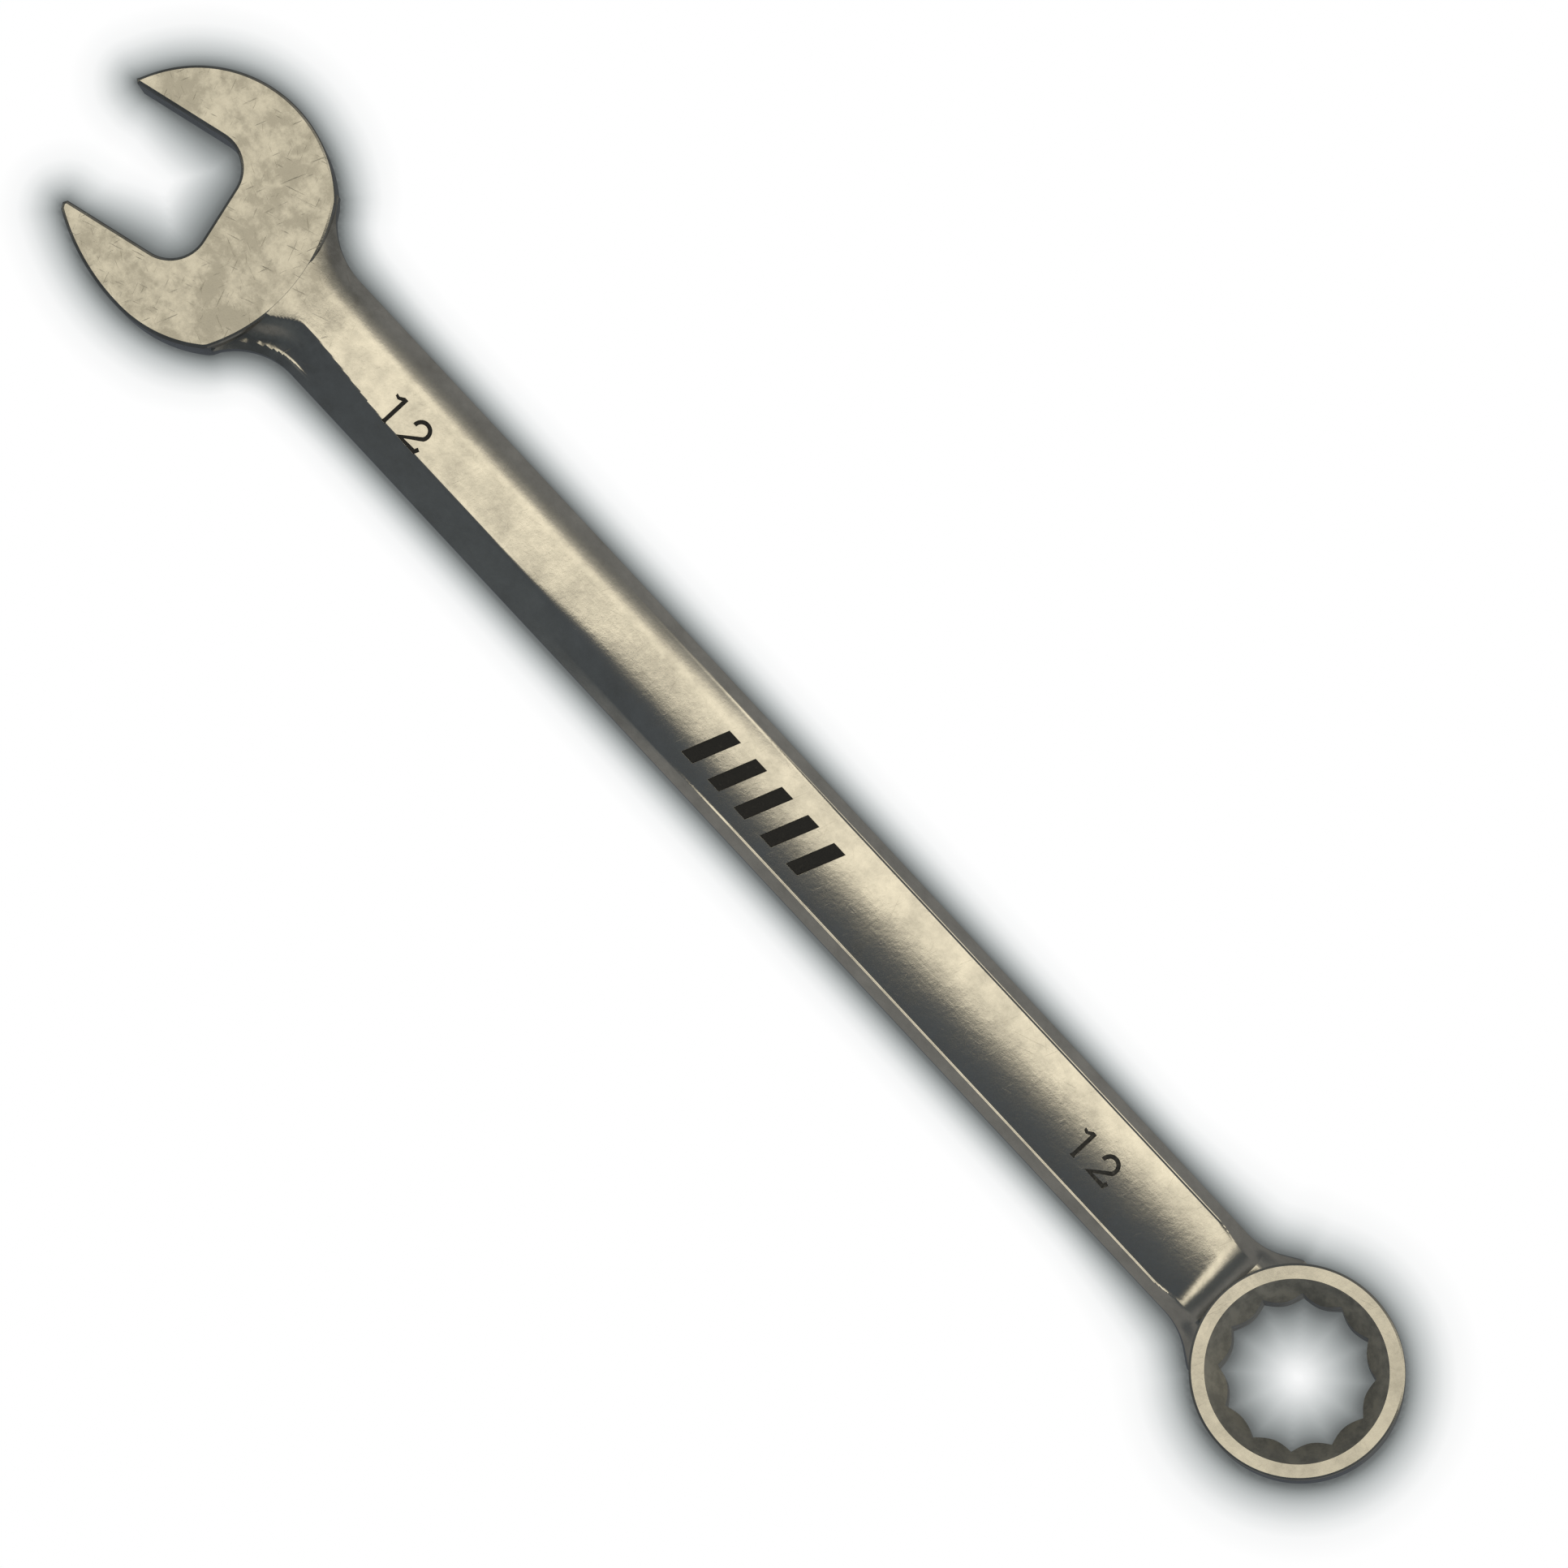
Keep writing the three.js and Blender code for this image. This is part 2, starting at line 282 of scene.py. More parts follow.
# ---- open end, drawn with its opening along +x and its lower jaw at +y, then turned ----
def jaw_half(jaw):
    half = JAW_GAP / 2
    start = jaw["cheek_start"]
    shift = jaw["back_radius"] - jaw["cheek_radius"]
    cheek_x = jaw["back_x"] + shift * math.cos(math.radians(start))
    cheek_y = shift * math.sin(math.radians(start))
    end = math.degrees(math.acos((jaw["reach"] + 0.1 - cheek_x) / jaw["cheek_radius"]))
    back = arc(jaw["back_x"], 0, jaw["back_radius"], 180, start)
    cheek = arc(cheek_x, cheek_y, jaw["cheek_radius"], start, end)[1:]
    tip = [[jaw["reach"] + 0.3, half + 0.35], [jaw["reach"], half]]
    throat = arc(THROAT_CORNER - THROAT_DEPTH, half - THROAT_CORNER, THROAT_CORNER, 90, 180, 6)
    return np.concatenate([back, cheek, tip, throat])


def head_outline():
    upper = jaw_half(UPPER_JAW) * [1, -1]
    outline = np.concatenate([jaw_half(LOWER_JAW), upper[-1:0:-1]])
    placed = turned(outline, math.pi + END_ANGLE) + [HEAD_X, HEAD_SIDEWAYS]
    centre = FACE_CENTRE + [HEAD_X, 0]
    reach = placed - centre
    distance = np.linalg.norm(reach, axis=1, keepdims=True)
    return anticlockwise(centre + reach * np.minimum(1, FACE_RADIUS / distance))


def rounded_edge(radius, steps=3):
    """How far in and how far below the face a rounded edge is, from the face down."""
    angles = np.linspace(0.5, math.pi / 2, steps + 1)
    return [(radius * (1 - math.sin(a)), radius * (1 - math.cos(a))) for a in angles]


def head():
    outline = head_outline()
    edge = [(HEAD_EDGE, 0), (0.35 * HEAD_EDGE, 0.25 * HEAD_EDGE), (0, 1.3 * HEAD_EDGE)]
    top = [at_height(inset(outline, i), HEAD_THICKNESS - down) for i, down in edge]
    bottom = [at_height(inset(outline, i), down) for i, down in edge]
    return loft("head", [*bottom, *reversed(top)])


# ---- shank ----
def rise(x, flare):
    """Rise of a fillet at x: a round bend, then straight on to the end of its run."""
    into = min(max((x - flare["start"]) * flare["towards"], 0), flare["run"])
    bend = min(into, flare["bend"])
    level = math.sqrt(flare["radius"] ** 2 - bend**2)
    return flare["radius"] - level + (into - bend) * bend / level


def ridge(y, middle, width):
    """A smooth bump across the handle, 1 high at its middle."""
    return math.exp(-(((y - middle) / width) ** 2))


def soft_ramp(distance, softness):
    """The distance where it is positive and 0 where it is negative, with a rounded corner between."""
    share = distance / softness
    return distance if share > 30 else softness * math.log1p(math.exp(share))


def towards_jaws(x, feature):
    """How far a feature near the jaws has come in at x: 0 before its span, its whole size after it."""
    return smoothstep(-x, feature["from"], feature["to"])


def crease_place(x):
    """Where the crease of the lower bevel runs, and how rounded it is."""
    drift = CREASE_DRIFT["by"] * towards_jaws(x, CREASE_DRIFT)
    sweep = CREASE_SWEEP["by"] * towards_jaws(x, CREASE_SWEEP)
    fade = CREASE_FADE["by"] * smoothstep(x, *CREASE_FADE["span"])
    blend = CREASE_BLEND["by"] * towards_jaws(x, CREASE_BLEND)
    return CREASE_Y + drift - sweep, CREASE_SOFTNESS + fade + blend


def jaw_end_height(x, y, upper_side, lower_side):
    """Half height near the jaws: a narrow flat, a rounded bevel on +y and a straight one on -y."""
    crease, softness = crease_place(x)
    past_crease = soft_ramp(crease - y, softness)
    fall = HALF_THICKNESS - SIDE_BAND
    lower_drop = fall * past_crease / (lower_side + crease)
    upper_flat = UPPER_FLAT_EDGE + UPPER_FLAT_SPREAD * rise(x, UPPER_JAW_FLARE)
    upper_share = max((y - upper_flat) / (upper_side - upper_flat), 0)
    lip = LIP["height"] * ridge(y, crease + LIP["above_crease"], LIP["width"])
    lip *= 1 - smoothstep(x, *LIP["fade"])
    rib = NECK_RIB["height"] * ridge(y, NECK_RIB["from_side"] - lower_side, NECK_RIB["width"])
    rib *= towards_jaws(x, NECK_RIB)
    hollow = NECK_HOLLOW["depth"] * smoothstep(-x, *NECK_SPAN)
    hollow *= ridge(y, (crease - lower_side) / 2, NECK_HOLLOW["width"])
    return HALF_THICKNESS - fall * upper_share**2 - lower_drop + lip + rib - hollow


def ring_end_height(x, y, upper_side, lower_side):
    """Half height near the ring: a wide crowned panel between two thin ridges."""
    near_ring = smoothstep(x, *PANEL_END_SPAN)
    edge = PANEL_HALF - PANEL_NARROWING * near_ring
    crowned = HALF_THICKNESS - PANEL_CROWN * (min(abs(y), edge) / PANEL_HALF) ** 2
    side = upper_side if y > 0 else lower_side
    past_edge = max(abs(y) - edge, 0) / (side - edge)
    upper = UPPER_RIDGE["height"] * ridge(y, edge - UPPER_RIDGE["inside_edge"], RIDGE_WIDTH)
    lower = LOWER_RIDGE["height"] * smoothstep(x, *LOWER_RIDGE["span"]) * ridge(y, -edge, RIDGE_WIDTH)
    bevelled = crowned - (crowned - SIDE_BAND) * past_edge**BEVEL_POWER
    return bevelled + (upper + lower) * (1 - near_ring)


def cross_stations(upper_side, lower_side):
    """Where a section is sampled, from the +y side to the -y side, closest at its creases."""
    return np.concatenate([
        np.linspace(upper_side, 4.3, 8),
        np.arange(4.2, 3.5, -0.08),
        np.linspace(3.4, -0.9, 17),
        np.arange(-1.0, -3.75, -0.1),
        np.arange(-3.8, -4.35, -0.06),
        np.linspace(-4.45, -lower_side, 7),
    ])


def shank_half(x, lifted):
    """Half the section at x, from the +y side to the -y side.

    Only the top is lifted to meet the ends: lifted is 1 for it, and 0 for the underside.
    """
    upper_side = HALF_WIDTH + rise(x, UPPER_JAW_FLARE) + rise(x, RING_FLARE)
    lower_side = HALF_WIDTH + rise(x, LOWER_JAW_FLARE) + rise(x, RING_FLARE)
    morph = smoothstep(x, *PANEL_MORPH)
    top = []
    for y in cross_stations(upper_side, lower_side):
        near_jaws = jaw_end_height(x, y, upper_side, lower_side)
        near_ring = ring_end_height(x, y, upper_side, lower_side)
        height = mix(near_jaws, near_ring, morph)
        inside = smoothstep(height, SIDE_BAND, HALF_THICKNESS - PANEL_CROWN)
        lift = rise(x, RING_SCOOP) + NECK_LIFT * smoothstep(-x, *NECK_SPAN)
        top.append([y, height + lift * inside * lifted])
    upper_bulge = [upper_side + SIDE_BULGE, SIDE_BULGE_HALF]
    lower_bulge = [-lower_side - SIDE_BULGE, SIDE_BULGE_HALF]
    return np.array([upper_bulge, *top, lower_bulge])


def shank_section(x):
    top, underside = shank_half(x, 1), shank_half(x, 0)
    around = np.concatenate([top, underside[::-1] * [1, -1]])
    return np.column_stack([np.full(len(around), x), around[:, 0], around[:, 1] + MID_HEIGHT])


def shank():
    stations = [
        *np.arange(SHANK_START, -52, 0.25),
        *np.arange(-52, 52, 1.0),
        *np.arange(52, SHANK_END, 0.25),
        SHANK_END,
    ]
    return loft("shank", [shank_section(x) for x in stations])


# ---- ring end, turned about its own axis and tilted so that its far side is raised ----
def ring_place(radius, angle, z):
    """A point on the ring from its radius, its angle and its height along the ring's axis."""
    x, y = radius * np.cos(angle), radius * np.sin(angle)
    c, s = math.cos(END_ANGLE), math.sin(END_ANGLE)
    return np.column_stack([
        RING_X + x * c - z * s,
        RING_SIDEWAYS + y,
        RING_Z + x * s + z * c,
    ])


def ring_blank():
    angles = np.linspace(0, 2 * math.pi, 240, endpoint=False)
    top = [(RING_RADIUS - i, RING_HALF - down) for i, down in rounded_edge(RING_TOP_EDGE)]
    bottom = [(RING_RADIUS - i, down - RING_HALF) for i, down in rounded_edge(RING_BOTTOM_EDGE, 6)]
    profile = [
        (2.0, -RING_HALF),
        (RING_RADIUS - RING_BOTTOM_EDGE, -RING_HALF),
        *bottom[1:],
        *reversed(top[1:]),
        (RING_RADIUS - RING_TOP_EDGE, RING_HALF),
        (2.0, RING_HALF),
    ]
    return loft("ring", [ring_place(r, angles, z * np.ones_like(angles)) for r, z in profile])


def star_radius(angle):
    """Radius of the 12-point opening: broad convex lobes that meet in shallow corners."""
    lobe = math.pi / STAR_POINTS
    off_lobe = abs((angle - STAR_TURN) % (2 * lobe) - lobe) / lobe
    return STAR_LOBE + (STAR_CORNER - STAR_LOBE) * off_lobe**2


def bore_cutter():
    angles = np.linspace(0, 2 * math.pi, 24 * STAR_POINTS, endpoint=False) + STAR_TURN
    star = np.array([star_radius(a) for a in angles])
    meets = RING_HALF - (COUNTERSINK_RADIUS - star)
    past = 1.5
    wide = COUNTERSINK_RADIUS + past
    levels = [(wide, -RING_HALF - past), (star, -meets), (star, meets), (wide, RING_HALF + past)]
    ones = np.ones_like(angles)
    return loft("bore", [ring_place(r * ones, angles, z * ones) for r, z in levels])


# ---- marks: size digits and a plain row of slanted bars ----
def thick_line(points, width):
    points = np.array(points, float)
    before = np.vstack([2 * points[0] - points[1], points[:-1]])
    after = np.vstack([points[1:], 2 * points[-1] - points[-2]])
    coming = (points - before) / np.linalg.norm(points - before, axis=1, keepdims=True)
    going = (after - points) / np.linalg.norm(after - points, axis=1, keepdims=True)
    tangent = coming + going
    tangent /= np.linalg.norm(tangent, axis=1, keepdims=True)
    across = np.stack([-tangent[:, 1], tangent[:, 0]], 1)
    half = width / 2 / np.maximum(0.5, np.sum(tangent * coming, 1))[:, None]
    return np.concatenate([points + across * half, (points - across * half)[::-1]])


def digit_one():
    half, top = DIGIT_STROKE / 2, DIGIT_HEIGHT
    return np.array([
        [-0.3, 0], [0.3, 0], [half, 0.2], [half, top], [-half, top], [-0.62, top - 0.3],
        [-0.98, top - 0.22], [-0.94, top - 0.5], [-0.6, top - 0.62], [-half, top - 0.42], [-half, 0.2],
    ])


def digit_two():
    bowl, half = 0.78, DIGIT_STROKE / 2
    bowl_y = DIGIT_HEIGHT - half - bowl
    curve = arc(0.05, bowl_y, bowl, 185, -30, 9)
    return thick_line([*curve, [-0.9, half], [0.95, half], [1.12, 0.62]], DIGIT_STROKE)


def slanted_bar():
    width, height = BAR_SIZE
    return np.array([[0, 0], [width, 0], [width + BAR_SLANT, height], [BAR_SLANT, height]])


def mark_sites():
    """Name, outline and place of every mark."""
    sites = []
    for end, (x, y) in DIGIT_SITES.items():
        sites.append((f"{end}_digit_1", digit_one(), (x, y)))
        sites.append((f"{end}_digit_2", digit_two(), (x + DIGIT_PITCH, y)))
    row = (BAR_COUNT - 1) * BAR_PITCH + BAR_SIZE[0] + BAR_SLANT
    for i in range(BAR_COUNT):
        place = (i * BAR_PITCH - row / 2, BAR_Y - BAR_SIZE[1] / 2)
        sites.append((f"handle_mark_bar_{i + 1}", slanted_bar(), place))
    return sites


def surface_height(x, y):
    """Height of the shank's top at a point."""
    top = shank_half(x, 1)[::-1]
    return MID_HEIGHT + np.interp(y, top[:, 0], top[:, 1])


def mark_recess(name, outline, place):
    outline = anticlockwise(outline + place)
    floor = min(surface_height(x, y) for x, y in outline) - MARK_DEPTH
    above = MID_HEIGHT + HALF_THICKNESS + 1
    return loft(name, [at_height(outline, floor), at_height(outline, above)])


def mark_fill(name, outline, place):
    """The enamel in a recess: it follows the steel's surface a little below it, with a soft rim."""
    outline = anticlockwise(outline + place)
    heights = np.array([surface_height(x, y) for x, y in outline])
    floor = heights.min() - MARK_DEPTH + 0.005
    bottom = at_height(inset(outline, FILL_GAP), floor)
    side = np.column_stack([inset(outline, FILL_GAP), heights - FILL_DROP - FILL_EDGE])
    top = np.column_stack([inset(outline, 0.05), heights - FILL_DROP])
    return loft(name, [bottom, side, top])


# ---- material nodes ----
class Nodes:
    """Short calls for building one node tree."""

    def __init__(self, tree):
        self.tree = tree
        self.tree.nodes.clear()

    def add(self, kind, **settings):
        node = self.tree.nodes.new(kind)
        for key, value in settings.items():
            setattr(node, key, value)
        return node

    def link(self, source, target):
        self.tree.links.new(source, target)

    def noise(self, vector, scale, detail=3.0, roughness=0.55):
        node = self.add("ShaderNodeTexNoise")
        node.inputs["Scale"].default_value = scale
        node.inputs["Detail"].default_value = detail
        node.inputs["Roughness"].default_value = roughness
        self.link(vector, node.inputs["Vector"])
        return node.outputs["Fac"]

    def stretch(self, vector, scale, turn=0.0, shift=0.0):
        node = self.add("ShaderNodeMapping", vector_type="TEXTURE")
        node.inputs["Scale"].default_value = [1 / s for s in scale]
        node.inputs["Rotation"].default_value = (0, 0, math.radians(turn))
        node.inputs["Location"].default_value = (shift, shift, 0)
        self.link(vector, node.inputs["Vector"])
        return node.outputs["Vector"]

    def remap(self, value, low, high, to_low, to_high):
        node = self.add("ShaderNodeMapRange", clamp=True)
        names = ("From Min", "From Max", "To Min", "To Max")
        for name, number in zip(names, (low, high, to_low, to_high)):
            node.inputs[name].default_value = number
        self.link(value, node.inputs["Value"])
        return node.outputs["Result"]

    def math(self, operation, a, b):
        node = self.add("ShaderNodeMath", operation=operation)
        for socket, value in zip(node.inputs, (a, b)):
            if isinstance(value, (int, float)):
                socket.default_value = value
            else:
                self.link(value, socket)
        return node.outputs[0]

    def ramp(self, value, stops):
        node = self.add("ShaderNodeValToRGB")
        elements = node.color_ramp.elements
        while len(elements) < len(stops):
            elements.new(0.5)
        for element, (position, colour) in zip(elements, stops):
            element.position = position
            element.color = (*colour, 1)
        self.link(value, node.inputs["Fac"])
        return node.outputs["Color"]

    def blend(self, share, a, b):
        node = self.add("ShaderNodeMix", data_type="RGBA")
        for socket, value in zip((node.inputs[0], node.inputs[6], node.inputs[7]), (share, a, b)):
            if isinstance(value, tuple):
                socket.default_value = (*value, 1)
            elif isinstance(value, (int, float)):
                socket.default_value = value
            else:
                self.link(value, socket)
        return node.outputs[2]

    def bump(self, height, strength, distance, normal=None):
        node = self.add("ShaderNodeBump")
        node.inputs["Strength"].default_value = strength
        node.inputs["Distance"].default_value = distance
        self.link(height, node.inputs["Height"])
        if normal is not None:
            self.link(normal, node.inputs["Normal"])
        return node.outputs["Normal"]


def new_material(name):
    material = bpy.data.materials.new(name)
    material.use_nodes = True
    return material, Nodes(material.node_tree)


def millimetres(nodes):
    coordinates = nodes.add("ShaderNodeTexCoord")
    return nodes.stretch(coordinates.outputs["Object"], (1 / MM, 1 / MM, 1 / MM))


def scratch_lines(nodes, place):
    """Short fine scratches in several directions, as a mask."""
    scratches = 0.0
    for turn, shift in [(20, 3), (-38, 17), (71, 41), (112, 63), (158, 90)]:
        fine = nodes.noise(nodes.stretch(place, (0.35, 6, 0.35), turn, shift), 1.0, 2)
        scratches = nodes.math("ADD", nodes.remap(fine, 0.69, 0.76, 0, 1), scratches)
    return nodes.math("MINIMUM", scratches, 1.0)


def plated_steel():
    """Satin nickel plate: blotched and scratched on the ground head, smoother along the handle."""
    material, nodes = new_material("plated_steel")
    place = millimetres(nodes)
    shader = nodes.add("ShaderNodeBsdfPrincipled")
    shader.inputs["Metallic"].default_value = 1.0
    split = nodes.add("ShaderNodeSeparateXYZ")
    nodes.link(place, split.inputs[0])
    on_head = nodes.remap(split.outputs["X"], -50, -62, 0.3, 1)

    blotch = nodes.noise(place, 0.3, 5, 0.62)
    mottle = nodes.noise(place, 1.1, 6, 0.72)
    grain = nodes.noise(nodes.stretch(place, (0.06, 3.2, 3.2)), 1.0, 3)
    scratches = nodes.math("MULTIPLY", scratch_lines(nodes, place), on_head)

    tone = nodes.math("ADD", nodes.math("MULTIPLY", blotch, 0.65), nodes.math("MULTIPLY", mottle, 0.35))
    swing = nodes.math("MULTIPLY", nodes.math("SUBTRACT", tone, 0.535), on_head)
    colour = nodes.ramp(nodes.math("ADD", swing, 0.5), [
        (0.41, (0.40, 0.385, 0.35)),
        (0.47, (0.52, 0.505, 0.465)),
        (0.53, (0.63, 0.61, 0.56)),
        (0.60, (0.69, 0.67, 0.62)),
    ])
    on_jaws = nodes.remap(split.outputs["X"], -50, -60, 0, 0.5)
    on_ring = nodes.remap(split.outputs["X"], 58, 64, 0, 0.4)
    colour = nodes.blend(nodes.math("MAXIMUM", on_jaws, on_ring), colour, (0.24, 0.235, 0.21))
    colour = nodes.blend(nodes.math("MULTIPLY", scratches, 0.4), colour, (0.30, 0.275, 0.23))
    nodes.link(colour, shader.inputs["Base Color"])

    roughness = nodes.remap(tone, 0.38, 0.62, 0.21, 0.11)
    roughness = nodes.math("ADD", roughness, nodes.math("MULTIPLY", scratches, 0.12))
    nodes.link(roughness, shader.inputs["Roughness"])

    normal = nodes.bump(mottle, 0.3, 0.00006)
    normal = nodes.bump(grain, 0.12, 0.00003, normal)
    normal = nodes.bump(nodes.math("SUBTRACT", 1.0, scratches), 0.2, 0.00003, normal)
    nodes.link(normal, shader.inputs["Normal"])

    output = nodes.add("ShaderNodeOutputMaterial")
    nodes.link(shader.outputs["BSDF"], output.inputs["Surface"])
    return material


def bore_steel_painted_shade():
    """The broached opening and its countersinks: duller than the plate outside, and darker in colour,
    which is painted shade in the opening.
    """
    material, nodes = new_material("bore_steel_painted_shade")
    place = millimetres(nodes)
    shader = nodes.add("ShaderNodeBsdfPrincipled")
    shader.inputs["Metallic"].default_value = 1.0
    tone = nodes.noise(place, 0.8, 5, 0.65)
    # Painted shade: the opening's steel is coloured darker than the plate outside.
    colour = nodes.ramp(tone, [(0.38, (0.34, 0.34, 0.32)), (0.6, (0.48, 0.475, 0.44))])
    nodes.link(colour, shader.inputs["Base Color"])
    nodes.link(nodes.remap(tone, 0.35, 0.65, 0.45, 0.33), shader.inputs["Roughness"])
    nodes.link(nodes.bump(tone, 0.25, 0.00005), shader.inputs["Normal"])
    output = nodes.add("ShaderNodeOutputMaterial")
    nodes.link(shader.outputs["BSDF"], output.inputs["Surface"])
    return material


def black_enamel(name, rubbed):
    """Matt black fill, rubbed thin in places."""
    material, nodes = new_material(name)
    place = millimetres(nodes)
    shader = nodes.add("ShaderNodeBsdfPrincipled")
    wear = nodes.noise(place, 2.2, 5, 0.7)
    colour = nodes.ramp(wear, [
        (0.35, (0.010, 0.010, 0.011)),
        (0.55, (0.015 + rubbed * 0.03, 0.015 + rubbed * 0.03, 0.015 + rubbed * 0.028)),
        (0.75, (0.05 + rubbed * 0.1, 0.048 + rubbed * 0.1, 0.044 + rubbed * 0.09)),
    ])
    nodes.link(colour, shader.inputs["Base Color"])
    nodes.link(nodes.remap(wear, 0.3, 0.7, 0.5, 0.72), shader.inputs["Roughness"])
    nodes.link(nodes.bump(wear, 0.3, 0.00004), shader.inputs["Normal"])
    output = nodes.add("ShaderNodeOutputMaterial")
    nodes.link(shader.outputs["BSDF"], output.inputs["Surface"])
    return material


def pale_floor():
    """White, with a soft grey shade that fades with the distance kept on the mesh."""
    material, nodes = new_material("pale_floor")
    away = nodes.add("ShaderNodeAttribute", attribute_name=SHADE_DISTANCE)
    greys = [
        (0, 0.13), (0.4, 0.28), (0.8, 0.39), (1.2, 0.49), (1.6, 0.58),
        (2.2, 0.69), (3, 0.83), (4, 0.94), (6, 1),
    ]
    stops = [(d / 6, (g * (0.91 + 0.09 * g), g, g)) for d, g in greys]
    colour = nodes.ramp(nodes.remap(away.outputs["Fac"], 0, SHADE_REACH, 0, 1), stops)
    glow = nodes.add("ShaderNodeEmission")
    nodes.link(colour, glow.inputs["Color"])
    output = nodes.add("ShaderNodeOutputMaterial")
    nodes.link(glow.outputs["Emission"], output.inputs["Surface"])
    return material


# ---- the wrench ----
def forging():
    body = shank()
    combine(body, head(), "UNION")
    combine(body, ring_blank(), "UNION")
    combine(body, bore_cutter(), "DIFFERENCE")
    for name, outline, place in mark_sites():
        combine(body, mark_recess(name + "_recess", outline, place), "DIFFERENCE")
    body.name = "forging"
    smooth(body, SMOOTH_BODY)
    return body


def mark_bore_faces(body, index):
    """Gives the faces inside the ring's opening another of the body's materials, the duller one whose
    darker colour is painted shade.
    """
    c, s = math.cos(END_ANGLE), math.sin(END_ANGLE)
    centre = (TO_ROW + [RING_X, RING_SIDEWAYS, RING_Z]) * MM
    reach = (COUNTERSINK_RADIUS + 0.01) * MM
    for face in body.data.polygons:
        x, y, z = np.array(face.center) - centre
        along, up = x * c + z * s, z * c - x * s
        level = abs(face.normal.z * c - face.normal.x * s) >= 0.9
        if math.hypot(along, y) < reach and abs(up) < RING_HALF * MM and not level:
            face.material_index = index


def add_wrench():
    body = forging()
    body.data.materials.clear()
    body.data.materials.append(plated_steel())
    # The opening's material: duller, with painted shade in its darker colour.
    body.data.materials.append(bore_steel_painted_shade())
    mark_bore_faces(body, 1)
    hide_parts("wrench_forging")
    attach(body, "root")
    crisp, rubbed = black_enamel("black_enamel", 0.0), black_enamel("rubbed_enamel", 1.0)
    for name, outline, place in mark_sites():
        fill = mark_fill(name + "_fill", outline, place)
        smooth(fill, SMOOTH_FILL)
        fill.data.materials.append(rubbed if name.startswith("ring_end") else crisp)
        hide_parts(name)
        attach(fill, "root")
    return body


# ---- floor, light and camera ----
def shadow_from(body, lamp):
    """The body's outline as a lamp throws it on the floor, as a search tree of flat triangles."""
    mesh = body.data
    mesh.calc_loop_triangles()
    flat = []
    for vertex in mesh.vertices:
        share = lamp.z / (lamp.z - vertex.co.z)
        flat.append(lamp + (vertex.co - lamp) * share)
    return BVHTree.FromPolygons(flat, [tuple(t.vertices) for t in mesh.loop_triangles])


def blurred(values, reach):
    """A grid of numbers averaged twice with its neighbours in both directions."""
    for axis in (0, 1, 0, 1):
        values = np.mean([np.roll(values, move, axis) for move in range(-reach, reach + 1)], axis=0)
    return values


def enclosed_share(covered, reach):
    """The share of the directions around each grid point that meet the shadow within a reach."""
    directions = 24
    blocked = np.zeros(covered.shape)
    for angle in np.linspace(0, 2 * math.pi, directions, endpoint=False):
        met = np.zeros(covered.shape, bool)
        for away in range(1, reach + 1):
            move = (round(away * math.sin(angle)), round(away * math.cos(angle)))
            met |= np.roll(covered, move, (0, 1))
        blocked += met
    return blurred(blocked / directions, 5)


def shade_distances(shadow, corners, shape):
    """How far each floor point counts as being from the shadow, in metres.

    Points hemmed in by the jaws or the ring count as nearer. The shade is tighter along the thin
    shank than round the two ends.
    """
    away = np.array([shadow.find_nearest(corner, 20)[3] for corner in corners])
    enclosed = enclosed_share(away.reshape(shape) < 1e-6, 20).ravel()
    hemmed_in = np.clip((enclosed - 0.48) / 0.3, 0, 1)
    away *= 1 - 0.65 * hemmed_in * np.clip(1 - away / HEMMED_REACH, 0, 1)
    places, tightness = [-0.062, -0.050, 0.050, 0.062], [1.0, 1.25, 1.25, 0.85]
    return away * np.interp([x for x, y, z in corners], places, tightness)


def add_floor(body):
    """A wide white floor whose middle is a fine grid that keeps how far away the shadow counts as."""
    shadow = shadow_from(body, SHADE_LAMP)
    low, high = cad_box
    xs = [-4.0, *np.arange(low.x - SHADE_MARGIN, high.x + SHADE_MARGIN, SHADE_STEP), 4.0]
    ys = [-4.0, *np.arange(low.y - SHADE_MARGIN, high.y + SHADE_MARGIN, SHADE_STEP), 4.0]
    corners = [(x, y, 0) for y in ys for x in xs]
    wide = len(xs)
    faces = [
        (r * wide + c, r * wide + c + 1, (r + 1) * wide + c + 1, (r + 1) * wide + c)
        for r in range(len(ys) - 1)
        for c in range(wide - 1)
    ]
    mesh = bpy.data.meshes.new("floor")
    mesh.from_pydata(corners, [], faces)
    away = shade_distances(shadow, corners, (len(ys), wide))
    mesh.attributes.new(SHADE_DISTANCE, "FLOAT", "POINT").data.foreach_set("value", away)
    mesh.materials.append(pale_floor())
    floor = bpy.data.objects.new("floor", mesh)
    bpy.context.scene.collection.objects.link(floor)
    floor.location.z = -0.02 * MM
    floor.visible_glossy = False
    floor.visible_diffuse = False


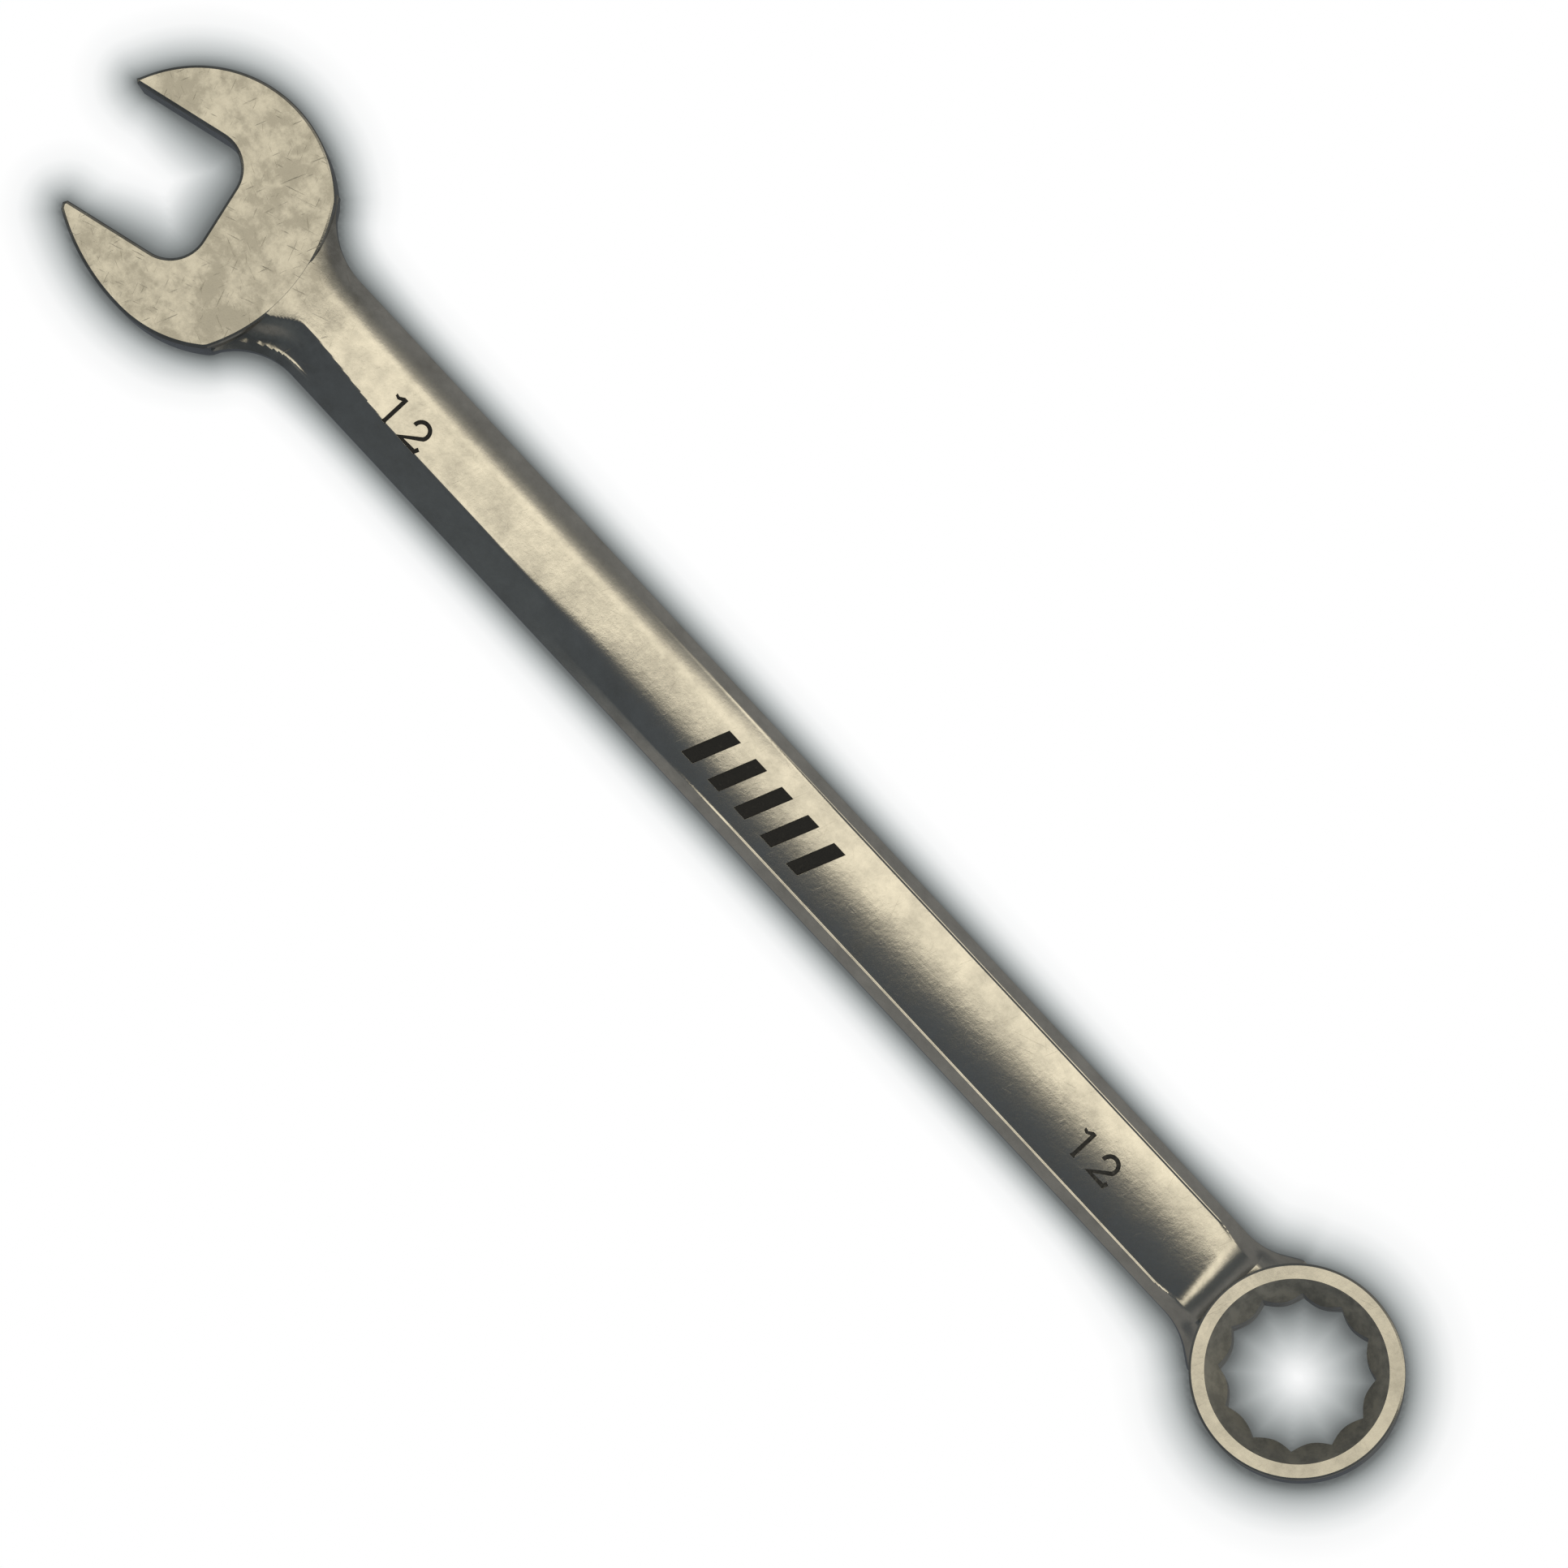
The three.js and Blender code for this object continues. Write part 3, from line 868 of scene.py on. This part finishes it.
def studio_ring(nodes, direction):
    """Light round the handle's axis: a warm bright panel overhead towards +y, dim and cool elsewhere."""
    lean = nodes.math("ARCTAN2", direction.outputs["Y"], direction.outputs["Z"])
    slant = nodes.math("MULTIPLY", direction.outputs["X"], LIGHT_SLANT)
    share = nodes.remap(nodes.math("SUBTRACT", lean, slant), -math.pi, math.pi, 0, 1)
    lean_stops = [
        (-180, (0.08, 0.088, 0.10)),
        (-70, (0.125, 0.14, 0.15)),
        (-40, (0.095, 0.108, 0.122)),
        (-18, (0.10, 0.112, 0.125)),
        (-8, (0.155, 0.158, 0.155)),
        (-3, (0.30, 0.285, 0.24)),
        (1, (0.92, 0.85, 0.68)),
        (5, (1.3, 1.2, 0.97)),
        (15, (1.46, 1.35, 1.09)),
        (28, (1.28, 1.18, 0.96)),
        (42, (0.58, 0.55, 0.47)),
        (62, (0.27, 0.265, 0.245)),
        (90, (0.18, 0.185, 0.185)),
        (180, (0.08, 0.085, 0.09)),
    ]
    return nodes.ramp(share, [((angle + 180) / 360, colour) for angle, colour in lean_stops])


def add_surroundings():
    """The light from all round, with dim ends, a grey band at eye level and a plain white backdrop."""
    world = bpy.data.worlds.new("surroundings")
    bpy.context.scene.world = world
    world.use_nodes = True
    nodes = Nodes(world.node_tree)
    coordinates = nodes.add("ShaderNodeTexCoord")
    direction = nodes.add("ShaderNodeSeparateXYZ")
    nodes.link(coordinates.outputs["Generated"], direction.inputs[0])
    along, up = direction.outputs["X"], direction.outputs["Z"]

    room = studio_ring(nodes, direction)
    beside = nodes.remap(nodes.math("ABSOLUTE", along, 0.0), 0.42, 0.62, 0, 1)
    room = nodes.blend(beside, room, (0.125, 0.135, 0.14))
    room = nodes.blend(nodes.remap(along, 0.5, 0.75, 0, 1), room, (0.30, 0.30, 0.29))
    above = nodes.remap(up, 0.1, 0.46, 1, 0)
    below = nodes.remap(up, -0.7, -0.45, 0, 1)
    room = nodes.blend(nodes.math("MULTIPLY", above, below), room, (0.25, 0.25, 0.245))

    sees = nodes.add("ShaderNodeLightPath")
    colour = nodes.blend(sees.outputs["Is Camera Ray"], room, (1.0, 1.0, 1.0))
    background = nodes.add("ShaderNodeBackground")
    nodes.link(colour, background.inputs["Color"])
    output = nodes.add("ShaderNodeOutputWorld")
    nodes.link(background.outputs["Background"], output.inputs["Surface"])


def add_camera():
    """Straight above the wrench, leaning slightly to its -y side, turned as it lies in the picture."""
    target = Vector((TO_ROW[0] * MM, CAMERA_TARGET_Y, CAMERA_TARGET_Z))
    position = Vector((target.x, target.y - CAMERA_ASIDE, CAMERA_HEIGHT))
    back = (position - target).normalized()
    right = Vector((math.cos(CAMERA_TURN), math.sin(CAMERA_TURN), 0))
    right = (right - back * right.dot(back)).normalized()
    up = back.cross(right)
    data = bpy.data.cameras.new("camera")
    data.sensor_width = 36
    data.lens = CAMERA_LENS
    data.clip_start = 0.01
    camera = bpy.data.objects.new("camera", data)
    bpy.context.scene.collection.objects.link(camera)
    matrix = camera.matrix_world.copy()
    for row in range(3):
        matrix[row][0] = right[row]
        matrix[row][1] = up[row]
        matrix[row][2] = back[row]
        matrix[row][3] = position[row]
    camera.matrix_world = matrix
    bpy.context.scene.camera = camera


add_floor(add_wrench())
add_surroundings()
add_camera()
bpy.context.scene.view_settings.view_transform = "Standard"
